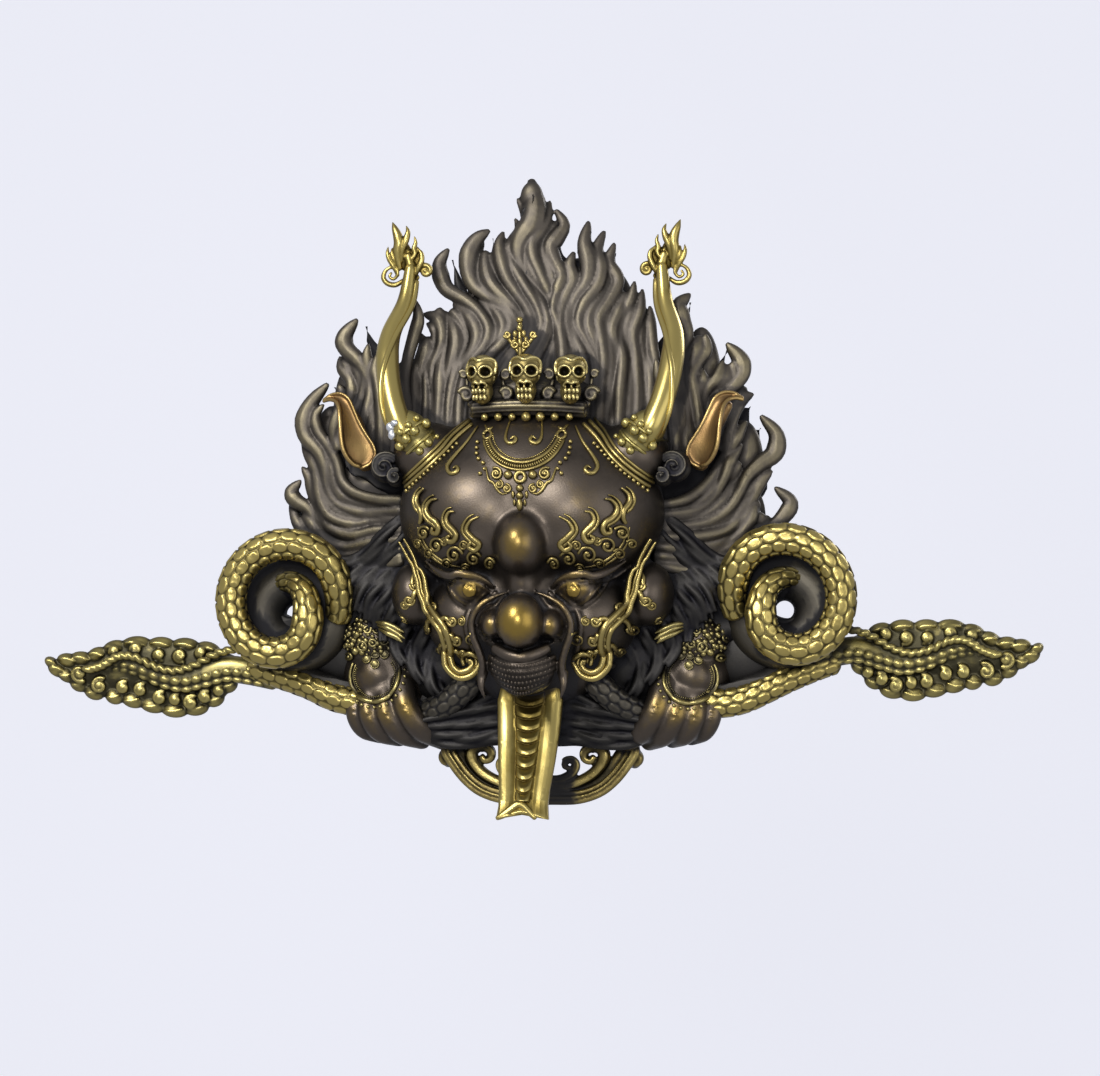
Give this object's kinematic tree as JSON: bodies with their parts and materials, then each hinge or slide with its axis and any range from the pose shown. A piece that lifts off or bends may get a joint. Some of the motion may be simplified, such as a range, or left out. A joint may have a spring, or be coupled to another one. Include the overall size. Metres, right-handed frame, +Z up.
{
  "type": "bronze guardian mask wall plaque",
  "caption": "Wall plaque in cast bronze: a horned guardian face with a flame mane, two coiled snakes, two hands and a hanging tongue.",
  "frame": {"origin": "on the flat back, in the middle of the plaque and just above the crown, where it hangs on the wall", "axes": "+X to the viewer's right along the tails, +Y into the wall, +Z up; the face looks along -Y"},
  "size_m": [0.6591, 0.1302, 0.412],
  "materials": {
    "patinated_bronze": "cast bronze, dark brown patina in the hollows, rubbed back to brass on the high points",
    "polished_brass": "cast brass, polished, with brown patina in the fine lines"
  },
  "bodies": {
    "root": {"mask_casting": "patinated_bronze", "horn_left": "polished_brass", "horn_right": "polished_brass", "tongue": "polished_brass"}
  },
  "joints": []
}
